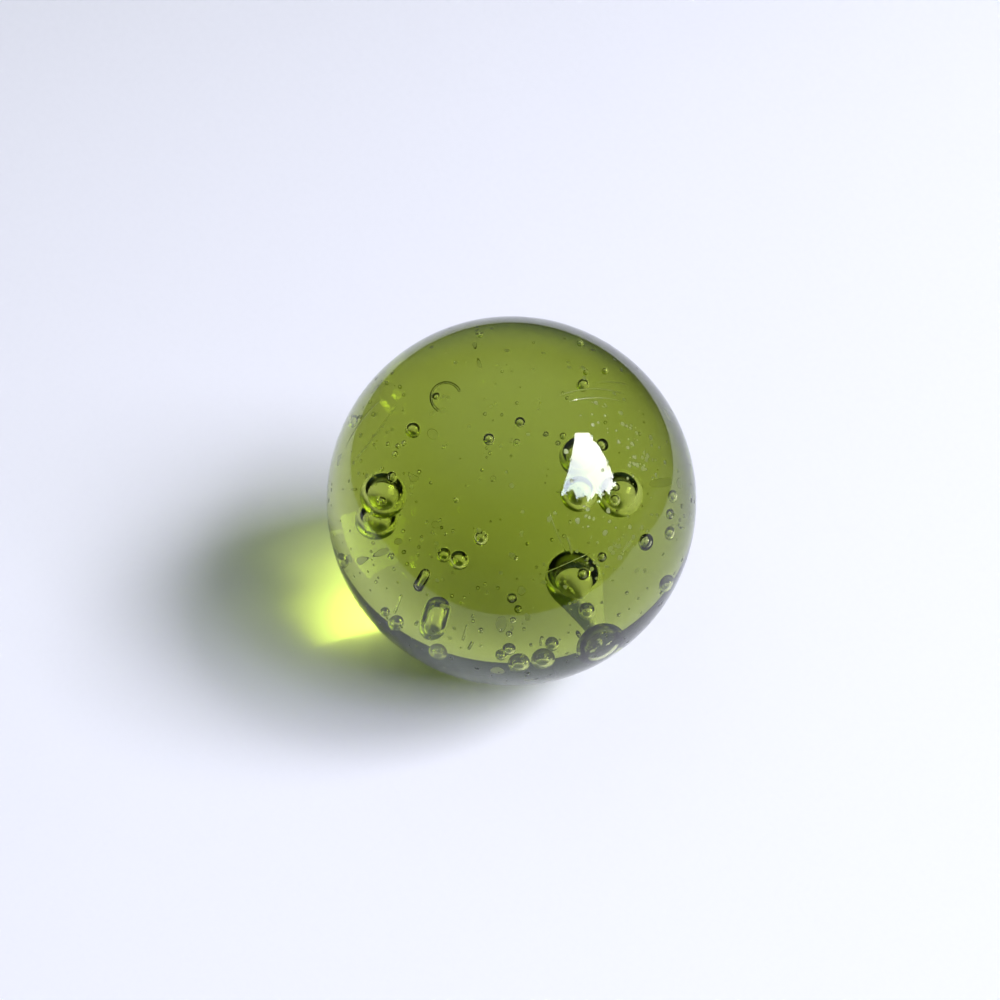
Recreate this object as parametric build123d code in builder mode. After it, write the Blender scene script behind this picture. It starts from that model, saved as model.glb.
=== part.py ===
from build123d import *
from collections import namedtuple
from math import asin, cos, degrees, radians, sin, sqrt, tan
import os

# A solid marble of green glass, cast in one piece, with air bubbles trapped in it.
# The origin is the ball's centre, +Z is up, and the photograph was taken looking along +Y.

# Driving sizes in millimetres
ball_diameter = 16.0
skin = 0.25  # least glass between a bubble and the outside

# How the photograph looks at the ball
look_down = 43.0  # degrees from level down to the line of sight
eye_distance = 6.0  # from the ball's centre, in ball radii
outline_centre = (511.5, 501.0)  # the ball's outline in the photograph, in pixels
outline_radius = 185.0
glass_index = 1.5  # how strongly the glass bends a line of sight

# A round bubble: where the photograph shows it, in pixels, how deep it lies along the line of
# sight, from 0 at the near skin to 1 at the far one, and its true diameter in millimetres.
Round = namedtuple("Round", "seen depth diameter")

round_bubbles = {
    "left_large": Round(seen=(383, 495), depth=0.50, diameter=1.36),
    "left_partner": Round(seen=(377, 520), depth=0.62, diameter=1.05),
    "right_upper": Round(seen=(580, 456), depth=0.66, diameter=1.12),
    "right_lower": Round(seen=(579, 493), depth=0.34, diameter=1.20),
    "right_large": Round(seen=(620, 494), depth=0.48, diameter=1.38),
}

# A bubble drawn out while the glass was soft: a round head and a round tail with a straight
# taper between them, its length over all, and the way from tail to head.
Drawn = namedtuple("Drawn", "seen depth head tail length heading")

drawn_bubbles = {
    "low_capsule": Drawn(seen=(435, 618), depth=0.62, head=0.72, tail=0.72, length=1.10,
                         heading=(0.25, 0.70, 0.70)),
    "low_teardrop": Drawn(seen=(578, 590), depth=0.80, head=1.40, tail=0.50, length=2.00,
                          heading=(-0.30, 0.20, 0.90)),
}

ball_radius = ball_diameter / 2


def bent_into_glass(sight, outward):
    """The way a line of sight goes on inside the glass, below a surface that faces outward."""
    slope = -sight.dot(outward)
    slope_inside = sqrt(glass_index ** 2 - 1 + slope ** 2)
    return (sight + outward * (slope - slope_inside)) / glass_index


def place_in_glass(seen, depth, size):
    """The true centre of a bubble whose longest side is size, from where it is seen.

    The ball works as a lens, so the line of sight is followed from the eye to the ball's surface
    and, bent, into the glass. The bubble lies on it, between the near skin and the far one.
    """
    down = radians(look_down)
    ahead = Vector(0, cos(down), -sin(down))
    rightward = Vector(1, 0, 0)
    upward = rightward.cross(ahead)
    eye = ahead * (-ball_radius * eye_distance)
    pixel = tan(asin(1 / eye_distance)) / outline_radius
    across = (seen[0] - outline_centre[0]) * pixel
    above = (outline_centre[1] - seen[1]) * pixel
    sight = (ahead + rightward * across + upward * above).normalized()

    nearest = eye + sight * -eye.dot(sight)
    surface = nearest - sight * sqrt(ball_radius ** 2 - nearest.length ** 2)
    inside = bent_into_glass(sight, surface / ball_radius)

    middle = surface + inside * -surface.dot(inside)
    room = ball_radius - skin - size / 2
    half_way = sqrt(room ** 2 - middle.length ** 2)
    return middle + inside * (half_way * (2 * depth - 1))


with BuildPart() as glass_ball:
    Sphere(ball_radius)

    for bubble in round_bubbles.values():
        with Locations(place_in_glass(bubble.seen, bubble.depth, bubble.diameter)):
            Sphere(bubble.diameter / 2, mode=Mode.SUBTRACT)

    for bubble in drawn_bubbles.values():
        centre = place_in_glass(bubble.seen, bubble.depth, bubble.length)
        lengthwise = Plane(centre, x_dir=bubble.heading, z_dir=(bubble.heading[2], 0, -bubble.heading[0]))
        head_radius = bubble.head / 2
        tail_radius = bubble.tail / 2
        head_at = bubble.length / 2 - head_radius
        tail_at = tail_radius - bubble.length / 2
        taper = degrees(asin((head_radius - tail_radius) / (head_at - tail_at)))
        with BuildSketch(lengthwise):
            with BuildLine():
                head_arc = CenterArc((head_at, 0), head_radius, 0, 90 + taper)
                tail_arc = CenterArc((tail_at, 0), tail_radius, 90 + taper, 90 - taper)
                Line(head_arc @ 1, tail_arc @ 0)
                Line(tail_arc @ 1, head_arc @ 0)
            make_face()
        revolve(axis=Axis(centre, lengthwise.x_dir), mode=Mode.SUBTRACT)

glass_ball.part.label = "glass_ball"
os.makedirs("parts", exist_ok=True)
export_step(glass_ball.part, "parts/glass_ball.step")
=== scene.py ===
import math
import random
from collections import namedtuple
from functools import lru_cache

import bmesh
import bpy
from mathutils import Matrix, Vector


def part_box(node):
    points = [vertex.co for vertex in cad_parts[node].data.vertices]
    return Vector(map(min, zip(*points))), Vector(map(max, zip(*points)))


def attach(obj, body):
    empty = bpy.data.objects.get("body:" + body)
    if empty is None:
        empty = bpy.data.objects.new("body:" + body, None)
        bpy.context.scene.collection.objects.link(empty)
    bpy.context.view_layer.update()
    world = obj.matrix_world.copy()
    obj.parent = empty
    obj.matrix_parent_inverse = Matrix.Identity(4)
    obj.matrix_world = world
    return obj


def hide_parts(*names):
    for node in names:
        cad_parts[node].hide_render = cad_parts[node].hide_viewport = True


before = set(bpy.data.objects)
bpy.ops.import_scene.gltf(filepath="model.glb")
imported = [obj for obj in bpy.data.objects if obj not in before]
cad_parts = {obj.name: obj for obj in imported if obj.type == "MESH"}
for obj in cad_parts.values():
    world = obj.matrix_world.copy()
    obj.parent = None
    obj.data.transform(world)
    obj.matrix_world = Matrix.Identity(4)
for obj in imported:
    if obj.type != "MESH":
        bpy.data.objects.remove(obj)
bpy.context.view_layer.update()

# A ball of clear green glass with air bubbles trapped in it, lying on a pale surface in window
# light. Metres throughout, with the ball's centre at the origin.

node_low, node_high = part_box("glass_ball")
BALL_RADIUS = (node_high.z - node_low.z) / 2
MM = 0.001

# How the photograph looks at the ball
LOOK_DOWN = math.radians(43.0)
EYE_DISTANCE = 6.0  # from the ball's centre, in ball radii
PICTURE_SIDE = 1000.0  # pixels
OUTLINE_CENTRE = (511.5, 501.0)  # the ball's outline in the photograph, in pixels
OUTLINE_RADIUS = 185.0
PIXEL_SLOPE = math.tan(math.asin(1 / EYE_DISTANCE)) / OUTLINE_RADIUS  # of one pixel, to the eye

# The glass
GLASS_INDEX = 1.5
SKIN = 0.25 * MM  # least glass between a bubble and the outside
TINT = (0.735, 0.785, 0.27)  # what the glass lets through
TINT_DENSITY = 300.0
OUTSIDE_FINENESS = 7  # how often the faces of an icosphere are divided
BUBBLE_FINENESS = 4
SEED_FINENESS = ((9, 4), (5, 3), (0, 2))  # above each width in pixels, this fineness
DUST_FINENESS = 2

# The window that lights the ball, as three panes, one below the other: points of the photograph
# where the corners of its reflection would lie, its share of the light, and its colour. Together
# they lie about where the highlight shows. The panes, their shares and how far the top one
# reaches beyond the highlight are chosen for the sake of the shadow and the light in it.
Pane = namedtuple("Pane", "corners share colour")

WINDOW_PANES = [
    Pane(((578, 426), (604, 426), (606, 453), (573, 453)), 0.50, (1.0, 0.98, 1.10)),
    Pane(((573, 453), (602, 453), (607, 472), (566, 472)), 0.27, (1.0, 0.98, 1.12)),
    Pane(((566, 472), (607, 472), (612, 494), (558, 494)), 0.23, (1.0, 0.98, 1.16)),
]
WINDOW_TURN = math.radians(-6.0)  # from where its reflection puts it to where its lamps are
WINDOW_DISTANCE = 0.60  # metres from the ball's centre
WINDOW_POWER = 3.30  # watts, and more the lower the window stands

# What the outside of the ball mirrors of the window: a figure with partly ragged edges, dimmer
# towards its lower end. Its widths and places are measured on unit vectors.
GLARE_CORNERS = ((575, 433), (589, 433), (605, 457), (615, 489), (591, 500), (562, 491))
GLARE_RAGGED = (False, False, True, True, True, False)  # the edge from each corner to the next
GLARE_EDGE = 0.006  # how far an edge fades to each side
GLARE_RAGGEDNESS = 0.30
GLARE_NOISE_SCALE = 16.0
GLARE_NOISE_DETAIL = 4.0
GLARE_DIM = (13.0, 15.0, 17.5)
GLARE_BRIGHT = (26.0, 26.0, 25.0)
GLARE_DIM_Y = -0.5
GLARE_BRIGHT_Y = -0.1

# The room: dark walls, and soft light from the ceiling and low at the far side. Each light lies
# round a bearing and a height in degrees. The cosine of the angle off that way says where it
# begins and where it is full.
Glow = namedtuple("Glow", "bearing height rim full light")

WALL = (0.006, 0.007, 0.009)
GLOWS = [
    Glow(0.0, 90.0, 0.50, 0.98, (0.36, 0.40, 0.36)),
    Glow(90.0, 4.0, 0.80, 0.98, (0.03, 0.05, 0.12)),
]

# A white sheet on a dark desk
SHEET_SIDES = (-8.0, 7.6, -3.2, 30.0)  # left, right, front and back, in ball radii
SHEET_THICKNESS = 0.3 * MM
SHEET_COLOUR = (0.86, 0.88, 0.92)
DESK_SIDES = (-1.0, 1.0, -1.0, 1.0)  # metres
DESK_COLOUR = (0.03, 0.03, 0.035)
FLOOR_ROUGHNESS = 0.8
FLOOR_SPECULAR = 0.2


# Where things lie that the photograph shows
def line_of_sight(seen):
    """The eye, and the way to a point of the photograph."""
    ahead = Vector((0, math.cos(LOOK_DOWN), -math.sin(LOOK_DOWN)))
    rightward = Vector((1, 0, 0))
    upward = rightward.cross(ahead)
    eye = ahead * (-BALL_RADIUS * EYE_DISTANCE)
    across = (seen[0] - OUTLINE_CENTRE[0]) * PIXEL_SLOPE
    above = (OUTLINE_CENTRE[1] - seen[1]) * PIXEL_SLOPE
    return eye, (ahead + rightward * across + upward * above).normalized()


def near_surface(seen):
    """The point of the ball's outside that the photograph shows there."""
    eye, sight = line_of_sight(seen)
    nearest = eye + sight * -eye.dot(sight)
    return nearest - sight * math.sqrt(BALL_RADIUS ** 2 - nearest.length ** 2)


def bent_into_glass(sight, outward):
    """The way a line of sight goes on inside the glass, below a surface that faces outward."""
    slope = -sight.dot(outward)
    slope_inside = math.sqrt(GLASS_INDEX ** 2 - 1 + slope ** 2)
    return (sight + outward * (slope - slope_inside)) / GLASS_INDEX


def place_in_glass(seen, depth, size):
    """The true centre of a bubble of that size, from where the photograph shows it."""
    eye, sight = line_of_sight(seen)
    surface = near_surface(seen)
    inside = bent_into_glass(sight, surface / BALL_RADIUS)
    middle = surface + inside * -surface.dot(inside)
    room = BALL_RADIUS - SKIN - size / 2
    half_way = math.sqrt(max(room ** 2 - middle.length ** 2, 0))
    return middle + inside * (half_way * (2 * depth - 1))


def mirrored(seen):
    """The way that a line of sight takes after the ball's outside has reflected it."""
    eye, sight = line_of_sight(seen)
    outward = near_surface(seen) / BALL_RADIUS
    return sight - outward * (2 * sight.dot(outward))


def pixel_in_glass(seen, depth):
    """How far apart two neighbouring pixels lie at that depth, side by side about the centre."""
    outward = Vector(seen) - Vector(OUTLINE_CENTRE)
    aside = Vector((-outward.y, outward.x)).normalized() if outward.length > 1 else Vector((1, 0))
    one = place_in_glass(Vector(seen) - aside, depth, 0)
    other = place_in_glass(Vector(seen) + aside, depth, 0)
    return (other - one).length / 2


# Surfaces of the glass, each as points and faces
Mesh = namedtuple("Mesh", "points faces")

CAP_STEPS = (0.12, 0.4, 0.7)  # the rings of a rod's rounded end, as shares of a quarter turn
ROD_SIDES = 12
SAME_POINT = 1e-7  # metres


@lru_cache(maxsize=None)
def unit_sphere(fineness):
    bm = bmesh.new()
    bmesh.ops.create_icosphere(bm, subdivisions=fineness, radius=1)
    made = Mesh([vert.co.copy() for vert in bm.verts],
                [[vert.index for vert in face.verts] for face in bm.faces])
    bm.free()
    return made


def sphere(centre, radius, fineness):
    """A round surface, made from the unit sphere of that fineness."""
    unit = unit_sphere(fineness)
    return Mesh([centre + point * radius for point in unit.points], unit.faces)


def rod(route, radius):
    """A thin round rod along a list of points, with rounded ends."""
    points = []
    faces = []
    rings = []
    first = (route[1] - route[0]).normalized()
    last = (route[-1] - route[-2]).normalized()
    caps = [math.pi / 2 * share for share in CAP_STEPS]
    stations = [(route[0] - first * radius * math.cos(turn), math.sin(turn)) for turn in caps]
    stations += [(point, 1.0) for point in route]
    stations += [(route[-1] + last * radius * math.cos(turn), math.sin(turn))
                 for turn in reversed(caps)]
    for i, (centre, share) in enumerate(stations):
        before = stations[max(i - 1, 0)][0]
        after = stations[min(i + 1, len(stations) - 1)][0]
        along = (after - before).normalized()
        side = along.cross(centre).normalized()
        over = along.cross(side)
        ring = []
        for j in range(ROD_SIDES):
            turn = math.tau * j / ROD_SIDES
            ring.append(len(points))
            points.append(centre + (side * math.cos(turn) + over * math.sin(turn)) * radius * share)
        rings.append(ring)
    for ring, following in zip(rings, rings[1:]):
        for j in range(ROD_SIDES):
            k = (j + 1) % ROD_SIDES
            faces.append([ring[j], ring[k], following[k], following[j]])
    faces.append(list(reversed(rings[0])))
    faces.append(list(rings[-1]))
    return Mesh(points, faces)


def shells(node):
    """The separate closed surfaces in a CAD node's mesh."""
    bm = bmesh.new()
    bm.from_mesh(node.data)
    bmesh.ops.remove_doubles(bm, verts=bm.verts, dist=SAME_POINT)
    bm.verts.ensure_lookup_table()
    waiting = set(range(len(bm.verts)))
    found = []
    while waiting:
        reached = []
        front = [next(iter(waiting))]
        waiting.discard(front[0])
        while front:
            index = front.pop()
            reached.append(index)
            for edge in bm.verts[index].link_edges:
                neighbour = edge.other_vert(bm.verts[index]).index
                if neighbour in waiting:
                    waiting.discard(neighbour)
                    front.append(neighbour)
        number = {index: i for i, index in enumerate(reached)}
        faces = [[number[vert.index] for vert in face.verts] for face in bm.faces
                 if face.verts[0].index in number]
        found.append(Mesh([bm.verts[index].co.copy() for index in reached], faces))
    bm.free()
    return found


# What is trapped in the glass besides the CAD model's bubbles. A seed is a round bubble:
# where the photograph shows it, how deep it lies, from 0 at the near skin to 1 at the far one,
# and how wide it looks, in pixels.
Seed = namedtuple("Seed", "seen depth width")

SEEDS = [
    Seed((436, 396), 0.10, 8),
    Seed((413, 430), 0.55, 16),
    Seed((388, 444), 0.20, 5),
    Seed((398, 446), 0.20, 6),
    Seed((404, 443), 0.20, 6),
    Seed((395, 454), 0.30, 7),
    Seed((392, 477), 0.16, 12),
    Seed((520, 422), 0.12, 11),
    Seed((489, 439), 0.14, 12.5),
    Seed((517, 442), 0.35, 7.5),
    Seed((546, 434), 0.12, 5.5),
    Seed((558, 443), 0.12, 5.5),
    Seed((563, 436), 0.70, 7),
    Seed((583, 385), 0.60, 13),
    Seed((586, 372), 0.60, 6),
    Seed((602, 445), 0.12, 14),
    Seed((616, 487), 0.14, 9),
    Seed((615, 500), 0.20, 12),
    Seed((673, 496), 0.30, 13),
    Seed((670, 514), 0.25, 11),
    Seed((670, 533), 0.30, 14),
    Seed((646, 542), 0.14, 18),
    Seed((667, 584), 0.40, 19),
    Seed((602, 557), 0.14, 10.5),
    Seed((583, 574), 0.14, 13),
    Seed((481, 538), 0.20, 15),
    Seed((444, 555), 0.50, 15),
    Seed((459, 560), 0.35, 20),
    Seed((512, 598), 0.13, 11),
    Seed((518, 609), 0.60, 8),
    Seed((513, 620), 0.25, 7),
    Seed((509, 634), 0.30, 7),
    Seed((481, 630), 0.25, 5.5),
    Seed((473, 616), 0.60, 4),
    Seed((473, 621), 0.60, 4),
    Seed((509, 649), 0.30, 14),
    Seed((501, 655), 0.45, 12),
    Seed((519, 663), 0.40, 22),
    Seed((543, 659), 0.40, 24),
    Seed((552, 644), 0.55, 14),
    Seed((353, 421), 0.40, 14),
    Seed((342, 561), 0.45, 16),
    Seed((385, 612), 0.50, 10),
    Seed((396, 623), 0.55, 15),
    Seed((587, 611), 0.55, 17),
    Seed((601, 646), 0.30, 51),
    Seed((438, 652), 0.42, 19),
    Seed((391, 556), 0.60, 7),
    Seed((456, 500), 0.15, 6),
    Seed((382, 469), 0.35, 5),
    Seed((419, 472), 0.40, 5),
    Seed((485, 584), 0.40, 4),
    Seed((478, 588), 0.50, 4.5),
    Seed((498, 588), 0.50, 4),
    Seed((487, 593), 0.30, 3.5),
    Seed((452, 596), 0.60, 4),
    Seed((461, 603), 0.50, 3),
    Seed((570, 522), 0.20, 4),
    Seed((564, 536), 0.30, 4.5),
    Seed((440, 520), 0.30, 4.5),
    Seed((453, 531), 0.30, 4.5),
    Seed((427, 522), 0.25, 4),
    Seed((445, 534), 0.15, 3.5),
    Seed((432, 532), 0.35, 3.5),
    Seed((403, 531), 0.30, 4.5),
    Seed((373, 543), 0.40, 4),
    Seed((419, 547), 0.60, 3.5),
    Seed((418, 555), 0.60, 3.5),
    Seed((407, 564), 0.50, 4),
    Seed((394, 569), 0.50, 4),
    Seed((376, 582), 0.40, 4),
    Seed((370, 402), 0.50, 4),
    Seed((373, 414), 0.40, 5),
    Seed((361, 461), 0.30, 4),
    Seed((443, 447), 0.30, 4),
    Seed((431, 483), 0.15, 4),
    Seed((517, 403), 0.40, 4),
    Seed((485, 414), 0.15, 4),
    Seed((490, 453), 0.50, 4),
    Seed((511, 456), 0.50, 3),
    Seed((567, 398), 0.50, 4),
    Seed((516, 558), 0.20, 5),
    Seed((517, 579), 0.40, 3),
    Seed((640, 434), 0.30, 4),
    Seed((627, 593), 0.50, 4),
    Seed((619, 615), 0.50, 4.5),
    Seed((531, 645), 0.45, 4),
    Seed((524, 629), 0.50, 4),
    Seed((416, 624), 0.50, 4),
    Seed((480, 335), 0.50, 6),
    Seed((580, 343), 0.50, 7),
    Seed((605, 371), 0.50, 7),
    Seed((684, 516), 0.30, 4),
    Seed((680, 520), 0.30, 4),
]

# A streak is a bubble drawn out to a rod between two points of the photograph.
Streak = namedtuple("Streak", "start end depth width")

STREAKS = [
    Streak((418.5, 586), (425.5, 574), 0.13, 12),
    Streak((395, 612), (401, 596), 0.55, 3),
    Streak((463, 639), (467, 626), 0.50, 3),
    Streak((469, 648), (472, 643), 0.50, 3.5),
    Streak((541, 644), (542, 638), 0.50, 4),
]

# The thin open ring at the upper left is a bubble drawn out to a thread and bent round: its
# centre in the photograph, its radius there, the angles where it starts and ends, counted in
# degrees from +x over the top, how deep it lies and how thick it looks.
Loop = namedtuple("Loop", "centre radius start end depth width")

LOOP = Loop((446.0, 397.5), 15.0, 28, 238, 0.06, 3.0)

STREAK_STEPS = 4
LOOP_STEPS = 40

# Dust-fine seeds all through the glass, most of them low and to the left
DUST_CHANCE = 5  # what the random places start from
DUST_COUNT = 150
DUST_SIZES = (0.05 * MM, 0.11 * MM)
DUST_LEAN = Vector((-0.28, -0.15, -0.25))  # of the ball's radius

# How a shell of the CAD model is told apart, as shares of a radius
OUTSIDE_REACH = 0.9  # the outside reaches further than this
ROUND_WITHIN = 0.03  # a round bubble's points lie this even

# A scratch on the outside runs through three points of the photograph. It is that many pixels
# wide, and fades at its ends.
Scratch = namedtuple("Scratch", "start middle end width")

SCRATCHES = [
    Scratch((552, 399), (592, 389), (634, 398), 1.6),
    Scratch((590, 384), (612, 382), (630, 386), 1.2),
    Scratch((568, 402), (596, 398), (628, 403), 1.1),
    Scratch((622, 553), (627, 546), (633, 539), 1.8),
    Scratch((545, 573), (568, 563), (592, 552), 0.9),
    Scratch((549, 510), (556, 530), (566, 552), 1.2),
    Scratch((566, 534), (570, 545), (572, 556), 1.2),
    Scratch((356, 458), (376, 434), (402, 395), 2.4),
    Scratch((344, 452), (362, 420), (384, 397), 1.6),
]
SCRATCH_CLEAR = 0.55  # how much of its half length is clear before it fades
SCRATCH_DEPTH = 0.006 * MM
SCRATCH_ROUGHNESS = 0.45

# Fine specks of wear all over the outside, and the scuffed patches, each round a point
SPECK_SPACING = 0.20 * MM
SPECK_SIZE = 0.32  # of the spacing
SPECK_SHARE = 0.06  # how many of the places have a speck
SCUFFS = [((612, 545), 34), ((600, 418), 22), ((636, 450), 26), ((585, 515), 16)]
SCUFF_SHARE = 0.8
SCUFF_FADE = 1.3  # where a scuffed patch ends, as a share of its radius


def seed_bubble(seed):
    size = seed.width * pixel_in_glass(seed.seen, seed.depth)
    fineness = next(value for above, value in SEED_FINENESS if seed.width > above)
    return sphere(place_in_glass(seed.seen, seed.depth, size), size / 2, fineness)


def streak_bubble(streak):
    middle = (Vector(streak.start) + Vector(streak.end)) / 2
    size = streak.width * pixel_in_glass(middle, streak.depth)
    ends = [place_in_glass(seen, streak.depth, size) for seen in (streak.start, streak.end)]
    route = [ends[0].lerp(ends[1], i / STREAK_STEPS) for i in range(STREAK_STEPS + 1)]
    return rod(route, size / 2)


def loop_bubble():
    route = []
    for i in range(LOOP_STEPS + 1):
        turn = math.radians(LOOP.start + (LOOP.end - LOOP.start) * i / LOOP_STEPS)
        seen = (LOOP.centre[0] + LOOP.radius * math.cos(turn),
                LOOP.centre[1] - LOOP.radius * math.sin(turn))
        route.append(place_in_glass(seen, LOOP.depth, 0))
    return rod(route, LOOP.width * pixel_in_glass(LOOP.centre, LOOP.depth) / 2)


def dust_bubbles():
    chance = random.Random(DUST_CHANCE)
    found = []
    while len(found) < DUST_COUNT:
        place = Vector([chance.uniform(-1, 1) for axis in range(3)]) * BALL_RADIUS
        place += DUST_LEAN * BALL_RADIUS
        size = chance.uniform(*DUST_SIZES)
        if place.length < BALL_RADIUS - SKIN:
            found.append(sphere(place, size / 2, DUST_FINENESS))
    return found


def cad_bubbles():
    """The bubbles of the CAD model, with the round ones as finer spheres."""
    found = []
    for shell in shells(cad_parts["glass_ball"]):
        low = Vector([min(point[i] for point in shell.points) for i in range(3)])
        high = Vector([max(point[i] for point in shell.points) for i in range(3)])
        centre = (low + high) / 2
        reach = [(point - centre).length for point in shell.points]
        if max(reach) > OUTSIDE_REACH * BALL_RADIUS:
            continue
        if max(reach) - min(reach) < ROUND_WITHIN * max(reach):
            found.append(sphere(centre, sum(reach) / len(reach), BUBBLE_FINENESS))
        else:
            found.append(Mesh(shell.points, [list(reversed(face)) for face in shell.faces]))
    return found


def build_glass():
    """The ball and what is trapped in it, as one mesh in place of the CAD node."""
    outside = sphere(Vector((0, 0, 0)), BALL_RADIUS, OUTSIDE_FINENESS)
    bubbles = cad_bubbles() + dust_bubbles() + [loop_bubble()]
    bubbles += [seed_bubble(seed) for seed in SEEDS]
    bubbles += [streak_bubble(streak) for streak in STREAKS]
    points = list(outside.points)
    faces = list(outside.faces)
    for bubble in bubbles:
        start = len(points)
        points += bubble.points
        faces += [[start + index for index in reversed(face)] for face in bubble.faces]
    return mesh_object("ball_of_glass", points, faces)


def mesh_object(name, points, faces, smooth=True):
    """A new object in the scene, from its points and faces."""
    mesh = bpy.data.meshes.new(name)
    mesh.from_pydata(points, [], faces)
    for face in mesh.polygons:
        face.use_smooth = smooth
    obj = bpy.data.objects.new(name, mesh)
    bpy.context.scene.collection.objects.link(obj)
    return obj


# Materials
def math_node(tree, operation, *values):
    """A math node's output, from sockets and plain numbers."""
    node = tree.nodes.new("ShaderNodeMath")
    node.operation = operation
    for socket, value in zip(node.inputs, values):
        if isinstance(value, (int, float)):
            socket.default_value = value
        else:
            tree.links.new(value, socket)
    return node.outputs["Value"]


def vector_node(tree, operation, value, other):
    """How a place or a way lies to a fixed vector: their dot product or distance."""
    node = tree.nodes.new("ShaderNodeVectorMath")
    node.operation = operation
    tree.links.new(value, node.inputs[0])
    node.inputs[1].default_value = other
    return node.outputs["Value"]


def fade(tree, value, full, none):
    """1 where a value is at full, 0 where it is at none, and smooth between them."""
    node = tree.nodes.new("ShaderNodeMapRange")
    node.interpolation_type = "SMOOTHSTEP"
    low, high = sorted((full, none))
    node.inputs["From Min"].default_value = low
    node.inputs["From Max"].default_value = high
    node.inputs["To Min"].default_value = 1.0 if full < none else 0.0
    node.inputs["To Max"].default_value = 0.0 if full < none else 1.0
    tree.links.new(value, node.inputs["Value"])
    return node.outputs["Result"]


def scratch_mask(tree, place, scratch):
    """A line round the ball in the plane through the scratch's three points, with faded ends."""
    start, middle, end = [near_surface(seen) for seen in scratch[:3]]
    across = (middle - start).cross(end - start).normalized()
    pixel = BALL_RADIUS * EYE_DISTANCE * PIXEL_SLOPE
    offset = math_node(tree, "SUBTRACT", vector_node(tree, "DOT_PRODUCT", place, across),
                       across.dot(start))
    line = fade(tree, math_node(tree, "ABSOLUTE", offset), 0.0, scratch.width * pixel / 2)
    reach = max((start - middle).length, (end - middle).length)
    near = fade(tree, vector_node(tree, "DISTANCE", place, middle), reach * SCRATCH_CLEAR, reach)
    return math_node(tree, "MULTIPLY", line, near)


def speck_mask(tree, place):
    """Specks at random places on the outside, closer together in the scuffed patches."""
    cells = tree.nodes.new("ShaderNodeTexVoronoi")
    cells.inputs["Scale"].default_value = 1 / SPECK_SPACING
    tree.links.new(place, cells.inputs["Vector"])
    chance = tree.nodes.new("ShaderNodeSeparateColor")
    tree.links.new(cells.outputs["Color"], chance.inputs["Color"])
    share = SPECK_SHARE
    for seen, radius in SCUFFS:
        before, middle, after = [near_surface((seen[0] + i, seen[1])) for i in (-1, 0, 1)]
        reach = radius * (after - before).length / 2 * SCUFF_FADE
        near = fade(tree, vector_node(tree, "DISTANCE", place, middle), 0.0, reach)
        share = math_node(tree, "MAXIMUM", share, math_node(tree, "MULTIPLY", near, SCUFF_SHARE))
    chosen = math_node(tree, "LESS_THAN", chance.outputs["Red"], share)
    size = math_node(tree, "MULTIPLY", chance.outputs["Green"], 2 * SPECK_SIZE)
    inside = math_node(tree, "LESS_THAN", cells.outputs["Distance"], size)
    return math_node(tree, "MULTIPLY", chosen, inside)


def glass_material():
    """Clear tinted glass, with its outside worn by scratches and specks."""
    material = bpy.data.materials.new("green_glass")
    material.use_nodes = True
    tree = material.node_tree
    nodes = tree.nodes
    links = tree.links
    shader = nodes["Principled BSDF"]
    shader.inputs["Base Color"].default_value = (1, 1, 1, 1)
    shader.inputs["Transmission Weight"].default_value = 1.0
    shader.inputs["IOR"].default_value = GLASS_INDEX

    place = nodes.new("ShaderNodeTexCoord").outputs["Object"]
    from_centre = vector_node(tree, "DISTANCE", place, (0, 0, 0))
    outside = math_node(tree, "GREATER_THAN", from_centre, BALL_RADIUS - SKIN / 2)
    scratches = 0.0
    for scratch in SCRATCHES:
        scratches = math_node(tree, "MAXIMUM", scratches, scratch_mask(tree, place, scratch))
    specks = speck_mask(tree, place)
    worn = math_node(tree, "MULTIPLY", math_node(tree, "MAXIMUM", scratches, specks), outside)
    links.new(math_node(tree, "MULTIPLY", worn, SCRATCH_ROUGHNESS), shader.inputs["Roughness"])
    bump = nodes.new("ShaderNodeBump")
    bump.inputs["Distance"].default_value = SCRATCH_DEPTH
    bump.invert = True
    links.new(worn, bump.inputs["Height"])
    links.new(bump.outputs["Normal"], shader.inputs["Normal"])

    tint = nodes.new("ShaderNodeVolumeAbsorption")
    tint.inputs["Color"].default_value = (*TINT, 1)
    tint.inputs["Density"].default_value = TINT_DENSITY
    links.new(tint.outputs["Volume"], nodes["Material Output"].inputs["Volume"])
    return material


# Surroundings
def flat_piece(name, left, right, front, back, height, colour):
    piece = mesh_object(name, [(left, front, height), (right, front, height),
                               (right, back, height), (left, back, height)],
                        [(0, 1, 2, 3)], smooth=False)
    material = bpy.data.materials.new(name)
    material.use_nodes = True
    shader = material.node_tree.nodes["Principled BSDF"]
    shader.inputs["Base Color"].default_value = (*colour, 1)
    shader.inputs["Roughness"].default_value = FLOOR_ROUGHNESS
    shader.inputs["Specular IOR Level"].default_value = FLOOR_SPECULAR
    piece.data.materials.append(material)


def build_floor():
    sides = [side * BALL_RADIUS for side in SHEET_SIDES]
    flat_piece("white_sheet", *sides, -BALL_RADIUS, SHEET_COLOUR)
    flat_piece("dark_desk", *DESK_SIDES, -BALL_RADIUS - SHEET_THICKNESS, DESK_COLOUR)


def direction(bearing, height):
    """The unit vector at a bearing from +X towards +Y and a height above level, in degrees."""
    turn = math.radians(bearing)
    rise = math.radians(height)
    return Vector((math.cos(turn) * math.cos(rise), math.sin(turn) * math.cos(rise),
                   math.sin(rise)))


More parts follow.
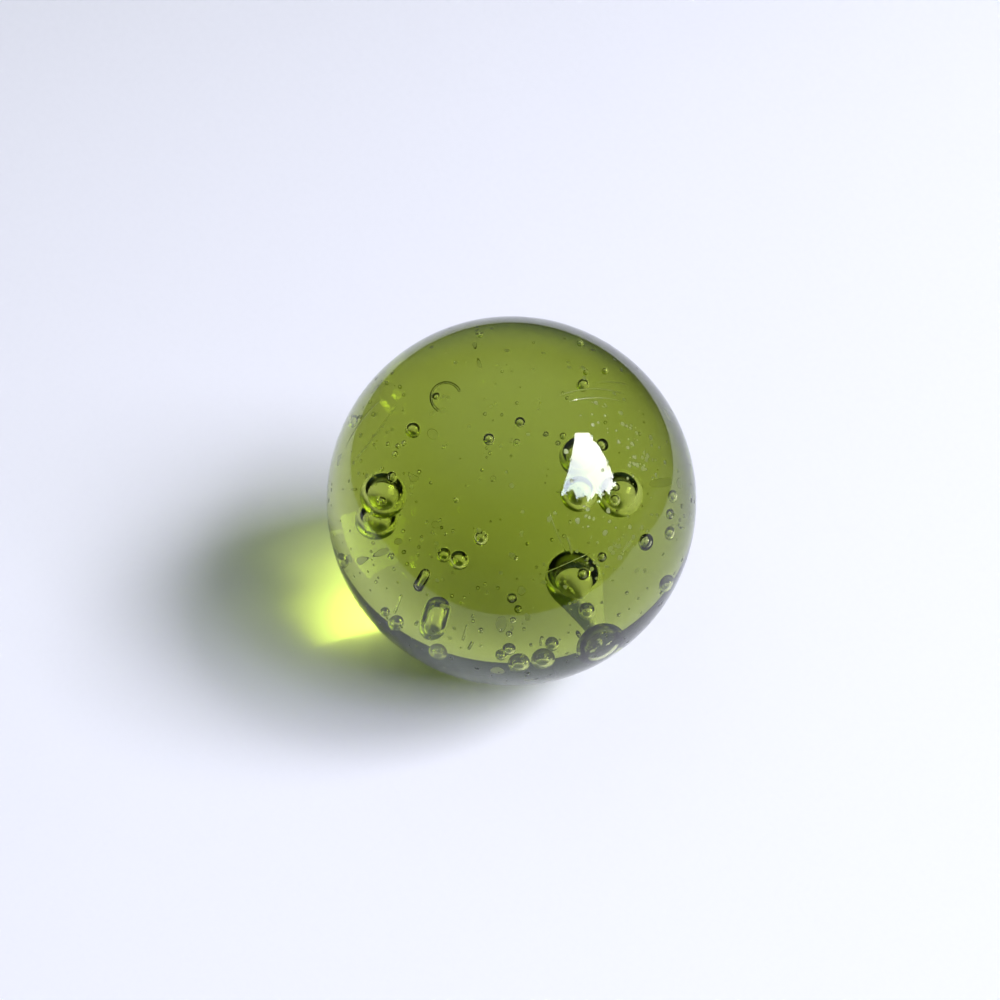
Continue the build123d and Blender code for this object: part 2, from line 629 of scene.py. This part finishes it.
def build_window():
    """One lamp for each pane, where its corners put it once turned, and about as wide and high."""
    turn = Matrix.Rotation(WINDOW_TURN, 3, "Z")
    for pane in WINDOW_PANES:
        corners = [turn @ mirrored(seen) for seen in pane.corners]
        towards = sum(corners, Vector()).normalized()
        corners = [corner * (WINDOW_DISTANCE / corner.dot(towards)) for corner in corners]
        across = (corners[1] + corners[2] - corners[0] - corners[3]) / 2
        level = (across - towards * across.dot(towards)).normalized()
        upright = towards.cross(level)
        lamp = bpy.data.lights.new("window_pane", "AREA")
        lamp.shape = "RECTANGLE"
        lamp.size = across.length
        lamp.size_y = abs((corners[0] + corners[1] - corners[2] - corners[3]).dot(upright)) / 2
        lamp.energy = WINDOW_POWER * pane.share / towards.z
        lamp.color = pane.colour
        lit = bpy.data.objects.new("window_pane", lamp)
        turned = Matrix((level, upright, towards)).transposed().to_4x4()
        lit.matrix_world = Matrix.Translation(towards * WINDOW_DISTANCE) @ turned
        lit.visible_glossy = False
        bpy.context.scene.collection.objects.link(lit)


def mixed(tree, blend, share, first, second):
    """One colour with a share of another mixed into it or, where blend is ADD, added to it."""
    mix = tree.nodes.new("ShaderNodeMix")
    mix.data_type = "RGBA"
    mix.blend_type = blend
    tree.links.new(share, mix.inputs["Factor"])
    for name, colour in zip("AB", (first, second)):
        socket = [s for s in mix.inputs if s.name == name and s.type == "RGBA"][0]
        if isinstance(colour, tuple):
            socket.default_value = (*colour, 1)
        else:
            tree.links.new(colour, socket)
    return [s for s in mix.outputs if s.type == "RGBA"][0]


def glare_mask(tree, way):
    """1 in the directions that the ball's outside mirrors to within the glare's corners."""
    noise = tree.nodes.new("ShaderNodeTexNoise")
    noise.inputs["Scale"].default_value = GLARE_NOISE_SCALE
    noise.inputs["Detail"].default_value = GLARE_NOISE_DETAIL
    tree.links.new(way, noise.inputs["Vector"])
    even = math_node(tree, "SUBTRACT", noise.outputs[0], 0.5)
    rough = math_node(tree, "MULTIPLY", even, GLARE_RAGGEDNESS)
    corners = [mirrored(seen) for seen in GLARE_CORNERS]
    inside = 1.0
    for corner, following, ragged in zip(corners, corners[1:] + corners[:1], GLARE_RAGGED):
        past = vector_node(tree, "DOT_PRODUCT", way, following.cross(corner).normalized())
        if ragged:
            past = math_node(tree, "ADD", past, rough)
        within = fade(tree, past, GLARE_EDGE, -GLARE_EDGE)
        inside = math_node(tree, "MULTIPLY", inside, within)
    return inside


def build_room():
    """The dim room round the sheet, the same for every ray but for the window's mirror image."""
    world = bpy.data.worlds.new("room")
    world.use_nodes = True
    tree = world.node_tree
    nodes = tree.nodes
    links = tree.links
    way = nodes.new("ShaderNodeTexCoord").outputs["Generated"]

    room = nodes["Background"]
    colour = WALL
    for glow in GLOWS:
        off = vector_node(tree, "DOT_PRODUCT", way, direction(glow.bearing, glow.height))
        share = fade(tree, off, glow.full, glow.rim)
        colour = mixed(tree, "ADD", share, colour, glow.light)
    links.new(colour, room.inputs["Color"])

    parts = nodes.new("ShaderNodeSeparateXYZ")
    links.new(way, parts.inputs["Vector"])
    share = nodes.new("ShaderNodeMapRange")
    share.inputs["From Min"].default_value = GLARE_DIM_Y
    share.inputs["From Max"].default_value = GLARE_BRIGHT_Y
    links.new(parts.outputs["Y"], share.inputs["Value"])
    glare = nodes.new("ShaderNodeBackground")
    colour = mixed(tree, "MIX", share.outputs["Result"], GLARE_DIM, GLARE_BRIGHT)
    links.new(colour, glare.inputs["Color"])

    # Cycles counts a refracted ray as glossy too, so only a ray that is glossy and not
    # transmitted has been mirrored.
    ray = nodes.new("ShaderNodeLightPath").outputs
    mirrored_ray = math_node(tree, "GREATER_THAN", ray["Is Glossy Ray"],
                             ray["Is Transmission Ray"])
    mix = nodes.new("ShaderNodeMixShader")
    links.new(math_node(tree, "MULTIPLY", glare_mask(tree, way), mirrored_ray), mix.inputs["Fac"])
    links.new(room.outputs["Background"], mix.inputs[1])
    links.new(glare.outputs["Background"], mix.inputs[2])
    links.new(mix.outputs["Shader"], nodes["World Output"].inputs["Surface"])
    bpy.context.scene.world = world


def build_camera():
    distance = BALL_RADIUS * EYE_DISTANCE
    camera = bpy.data.objects.new("camera", bpy.data.cameras.new("camera"))
    camera.location = Vector((0, -math.cos(LOOK_DOWN), math.sin(LOOK_DOWN))) * distance
    camera.rotation_euler = (-camera.location).to_track_quat("-Z", "Y").to_euler()
    half_side = PIXEL_SLOPE * PICTURE_SIDE / 2
    camera.data.lens = camera.data.sensor_width / 2 / half_side
    camera.data.shift_x = (PICTURE_SIDE / 2 - OUTLINE_CENTRE[0]) / PICTURE_SIDE
    camera.data.shift_y = (OUTLINE_CENTRE[1] - PICTURE_SIDE / 2) / PICTURE_SIDE
    camera.data.clip_start = MM
    bpy.context.scene.collection.objects.link(camera)
    bpy.context.scene.camera = camera


scene = bpy.context.scene
scene.view_settings.view_transform = "Standard"
scene.cycles.blur_glossy = 0.0  # keeps the light that the ball focuses sharp

ball = build_glass()
ball.data.materials.append(glass_material())
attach(ball, "root")
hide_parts("glass_ball")

build_floor()
build_window()
build_room()
build_camera()
